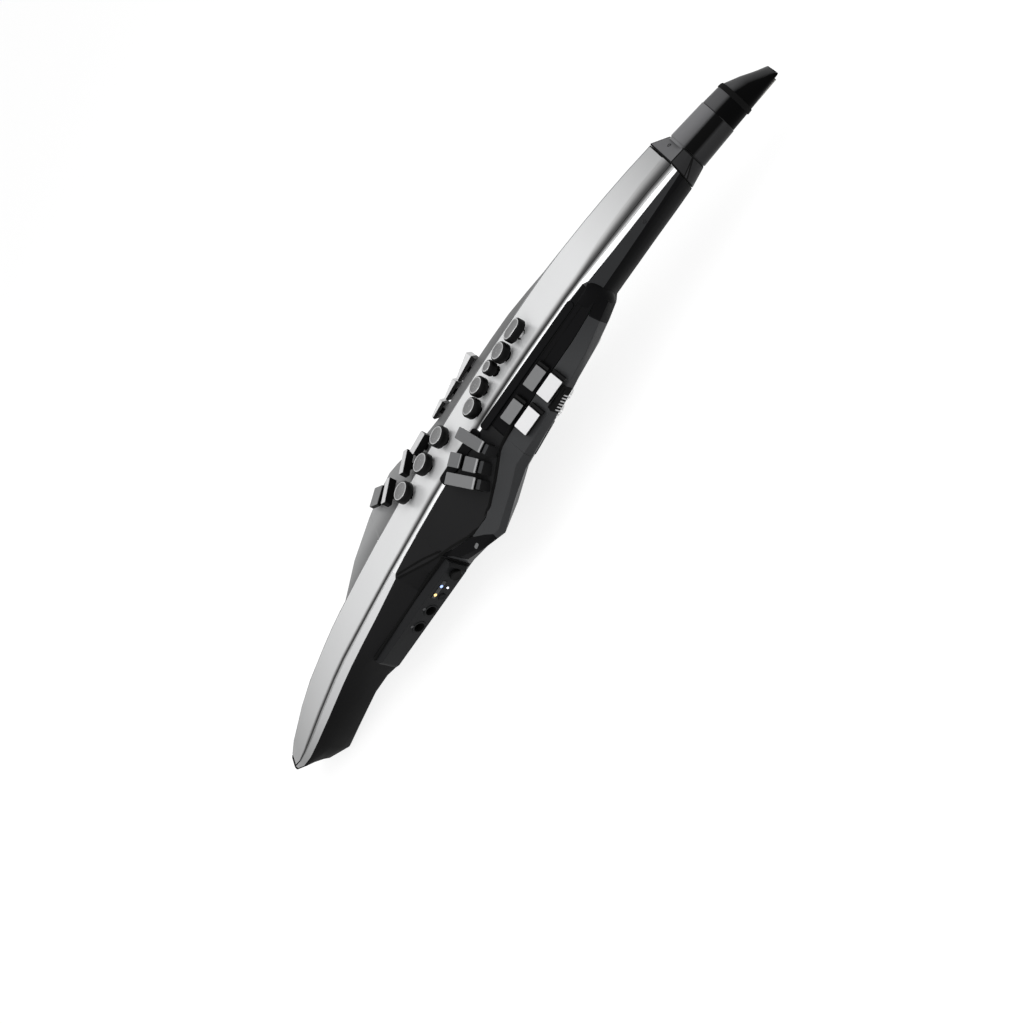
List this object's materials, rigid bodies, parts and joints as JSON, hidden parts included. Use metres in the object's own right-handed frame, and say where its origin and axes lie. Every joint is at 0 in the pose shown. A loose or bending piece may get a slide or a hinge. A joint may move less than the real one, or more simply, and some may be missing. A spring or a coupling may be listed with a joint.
{
  "type": "digital wind controller",
  "caption": "Handheld breath-played electronic instrument: a long curved body with front, side and palm keys, rear rollers, sockets and a beak mouthpiece.",
  "frame": {"origin": "middle of the length and of the width, on the surface that the instrument lies on, key side up", "axes": "+X along the body to the mouthpiece, +Y to the player's right-hand side, +Z out of the key side"},
  "size_m": [0.577, 0.124, 0.0822],
  "materials": {
    "panel_silver": "fine satin silver",
    "trim_bright": "polished",
    "housing_black": "satin-gloss black",
    "panel_satin": "satin black",
    "bulge_grey": "satin dark grey",
    "jack_grey": "satin dark grey",
    "wing_grey": "metallic grey paint",
    "key_grey": "metallic grey, smooth",
    "key_bright": "bright silver, smooth",
    "fitting_black": "black",
    "rubber_black": "soft black rubber",
    "mouth_black": "polished black",
    "reed_pale": "pale grey",
    "metal_bright": "polished",
    "battery_wrap": "wrapped cells",
    "board_green": "circuit board",
    "window_dark": "smoked window"
  },
  "bodies": {
    "body": {"front_panel": "panel_silver", "trim_left": "trim_bright", "trim_right": "trim_bright", "upper_housing": "housing_black", "palm_panel": "panel_satin", "pinky_panel": "panel_satin", "rear_housing": "bulge_grey", "right_cover": "wing_grey", "lower_housing": "housing_black", "jack_panel": "jack_grey", "lamp_strip": "window_dark", "phones_jack": "fitting_black", "charge_jack": "fitting_black", "display_window": "window_dark", "battery_pack": "battery_wrap", "speaker": "fitting_black", "contact_sheet": "rubber_black", "main_board": "board_green", "breath_sensor": "reed_pale", "breath_tube": "rubber_black", "collar": "jack_grey", "neck_tube": "jack_grey", "thumb_rest": "rubber_black", "strap_ring": "metal_bright", "pad_left": "rubber_black", "pad_right": "rubber_black"},
    "mouthpiece": {"mouthpiece": "mouth_black", "reed_plate": "reed_pale", "band_ring": "rubber_black"},
    "volume_knob": {"volume_knob": "key_grey"},
    "power_button": {"power_button": "key_grey"},
    "menu_button": {"menu_button": "key_grey"},
    "battery_door": {"battery_door": "panel_satin"},
    "octave_roller_up": {"octave_roller_up": "metal_bright"},
    "octave_roller_down": {"octave_roller_down": "metal_bright"},
    "thumb_hook": {"thumb_hook": "fitting_black"},
    "front_key_1": {"front_key_1": "key_grey"},
    "front_key_2": {"front_key_2": "key_grey"},
    "front_key_3": {"front_key_3": "key_grey"},
    "front_key_4": {"front_key_4": "key_grey"},
    "front_key_5": {"front_key_5": "key_grey"},
    "front_key_6": {"front_key_6": "key_grey"},
    "front_key_7": {"front_key_7": "key_grey"},
    "front_key_oblong": {"front_key_oblong": "key_grey"},
    "palm_key_1": {"palm_key_1": "key_grey"},
    "palm_key_2": {"palm_key_2": "key_grey"},
    "palm_key_3": {"palm_key_3": "key_bright"},
    "palm_key_4": {"palm_key_4": "key_bright"},
    "side_key_1": {"side_key_1": "key_grey"},
    "side_key_2": {"side_key_2": "key_grey"},
    "side_key_3": {"side_key_3": "key_grey"},
    "left_pinky_key_1": {"left_pinky_key_1": "key_grey"},
    "left_pinky_key_2": {"left_pinky_key_2": "key_grey"},
    "left_pinky_key_3": {"left_pinky_key_3": "key_grey"},
    "left_pinky_key_4": {"left_pinky_key_4": "key_grey"},
    "right_pinky_key_1": {"right_pinky_key_1": "key_grey"},
    "right_pinky_key_2": {"right_pinky_key_2": "key_grey"},
    "right_pinky_key_3": {"right_pinky_key_3": "key_grey"},
    "right_pinky_key_4": {"right_pinky_key_4": "key_grey"}
  },
  "joints": [
    {"name": "mouthpiece_pull", "type": "slide", "parent": "body", "child": "mouthpiece", "axis": [0.9908, 0, -0.1356], "range_m": [0, 0.012]},
    {"name": "volume_turn", "type": "hinge", "parent": "body", "child": "volume_knob", "pos_m": [-0.0835, -0.03645, 0.03201], "axis": [0, -0.9773, -0.212], "range_deg": [-150, 150]},
    {"name": "power_press", "type": "slide", "parent": "body", "child": "power_button", "axis": [0, 0.9773, 0.212], "range_m": [0, 0.0008], "stiffness_N_per_m": 150, "springref_m": -0.0004},
    {"name": "menu_press", "type": "slide", "parent": "body", "child": "menu_button", "axis": [0, 0, 1], "range_m": [0, 0.0005], "stiffness_N_per_m": 150, "springref_m": -0.0004},
    {"name": "battery_door_pull", "type": "slide", "parent": "body", "child": "battery_door", "axis": [0, 0, -1], "range_m": [0, 0.006]},
    {"name": "octave_up_roll", "type": "hinge", "parent": "body", "child": "octave_roller_up", "pos_m": [0.0548, -0.01305, 0.02979], "axis": [0, -0.8426, 0.5385], "continuous": true},
    {"name": "octave_down_roll", "type": "hinge", "parent": "body", "child": "octave_roller_down", "pos_m": [0.042, -0.01178, 0.02751], "axis": [0, -0.8426, 0.5385], "continuous": true},
    {"name": "thumb_hook_slide", "type": "slide", "parent": "body", "child": "thumb_hook", "axis": [1, 0, 0], "range_m": [-0.003, 0.0035]},
    {"name": "front_1_press", "type": "slide", "parent": "body", "child": "front_key_1", "axis": [0, 0, -1], "range_m": [0, 0.002], "stiffness_N_per_m": 120, "springref_m": -0.0006},
    {"name": "front_2_press", "type": "slide", "parent": "body", "child": "front_key_2", "axis": [0, 0, -1], "range_m": [0, 0.002], "stiffness_N_per_m": 120, "springref_m": -0.0006},
    {"name": "front_3_press", "type": "slide", "parent": "body", "child": "front_key_3", "axis": [0, 0, -1], "range_m": [0, 0.002], "stiffness_N_per_m": 120, "springref_m": -0.0006},
    {"name": "front_4_press", "type": "slide", "parent": "body", "child": "front_key_4", "axis": [0, 0, -1], "range_m": [0, 0.002], "stiffness_N_per_m": 120, "springref_m": -0.0006},
    {"name": "front_5_press", "type": "slide", "parent": "body", "child": "front_key_5", "axis": [0, 0, -1], "range_m": [0, 0.002], "stiffness_N_per_m": 120, "springref_m": -0.0006},
    {"name": "front_6_press", "type": "slide", "parent": "body", "child": "front_key_6", "axis": [0, 0, -1], "range_m": [0, 0.002], "stiffness_N_per_m": 120, "springref_m": -0.0006},
    {"name": "front_7_press", "type": "slide", "parent": "body", "child": "front_key_7", "axis": [0, 0, -1], "range_m": [0, 0.002], "stiffness_N_per_m": 120, "springref_m": -0.0006},
    {"name": "front_oblong_press", "type": "slide", "parent": "body", "child": "front_key_oblong", "axis": [0, 0, -1], "range_m": [0, 0.002], "stiffness_N_per_m": 120, "springref_m": -0.0006},
    {"name": "palm_1_press", "type": "slide", "parent": "body", "child": "palm_key_1", "axis": [0, 0.7396, -0.673], "range_m": [0, 0.0012], "stiffness_N_per_m": 120, "springref_m": -0.0006},
    {"name": "palm_2_press", "type": "slide", "parent": "body", "child": "palm_key_2", "axis": [0, 0.7396, -0.673], "range_m": [0, 0.0012], "stiffness_N_per_m": 120, "springref_m": -0.0006},
    {"name": "palm_3_press", "type": "slide", "parent": "body", "child": "palm_key_3", "axis": [0, 0.6494, -0.7604], "range_m": [0, 0.0012], "stiffness_N_per_m": 120, "springref_m": -0.0006},
    {"name": "palm_4_press", "type": "slide", "parent": "body", "child": "palm_key_4", "axis": [0, 0.6004, -0.7997], "range_m": [0, 0.0012], "stiffness_N_per_m": 120, "springref_m": -0.0006},
    {"name": "side_1_press", "type": "slide", "parent": "body", "child": "side_key_1", "axis": [0, -0.6845, -0.729], "range_m": [0, 0.0012], "stiffness_N_per_m": 120, "springref_m": -0.0006},
    {"name": "side_2_press", "type": "slide", "parent": "body", "child": "side_key_2", "axis": [0, -0.6845, -0.729], "range_m": [0, 0.0012], "stiffness_N_per_m": 120, "springref_m": -0.0006},
    {"name": "side_3_press", "type": "slide", "parent": "body", "child": "side_key_3", "axis": [0, -0.673, -0.7396], "range_m": [0, 0.0012], "stiffness_N_per_m": 120, "springref_m": -0.0006},
    {"name": "left_pinky_1_tilt", "type": "hinge", "parent": "body", "child": "left_pinky_key_1", "pos_m": [0.00467, -0.03623, 0.07048], "axis": [-0.9686, -0.2418, -0.0581], "range_deg": [0, 3], "stiffness_Nm_per_rad": 0.12, "springref_deg": -1.15},
    {"name": "left_pinky_2_tilt", "type": "hinge", "parent": "body", "child": "left_pinky_key_2", "pos_m": [-0.01421, -0.02604, 0.07117], "axis": [-0.8838, -0.4513, -0.1235], "range_deg": [0, 5], "stiffness_Nm_per_rad": 0.12, "springref_deg": -1.15},
    {"name": "left_pinky_3_tilt", "type": "hinge", "parent": "body", "child": "left_pinky_key_3", "pos_m": [-0.00798, -0.03811, 0.06673], "axis": [-0.8838, -0.445, -0.1446], "range_deg": [0, 5], "stiffness_Nm_per_rad": 0.12, "springref_deg": -1.15},
    {"name": "left_pinky_4_tilt", "type": "hinge", "parent": "body", "child": "left_pinky_key_4", "pos_m": [-0.01755, -0.04304, 0.06388], "axis": [-0.8686, -0.4662, -0.1678], "range_deg": [0, 3], "stiffness_Nm_per_rad": 0.12, "springref_deg": -1.15},
    {"name": "right_pinky_1_press", "type": "slide", "parent": "body", "child": "right_pinky_key_1", "axis": [0, -0.0941, -0.9956], "range_m": [0, 0.0012], "stiffness_N_per_m": 120, "springref_m": -0.0006},
    {"name": "right_pinky_2_press", "type": "slide", "parent": "body", "child": "right_pinky_key_2", "axis": [0, -0.0941, -0.9956], "range_m": [0, 0.0012], "stiffness_N_per_m": 120, "springref_m": -0.0006},
    {"name": "right_pinky_3_press", "type": "slide", "parent": "body", "child": "right_pinky_key_3", "axis": [0, -0.0941, -0.9956], "range_m": [0, 0.0012], "stiffness_N_per_m": 120, "springref_m": -0.0006},
    {"name": "right_pinky_4_press", "type": "slide", "parent": "body", "child": "right_pinky_key_4", "axis": [0, -0.0941, -0.9956], "range_m": [0, 0.0012], "stiffness_N_per_m": 120, "springref_m": -0.0006}
  ]
}
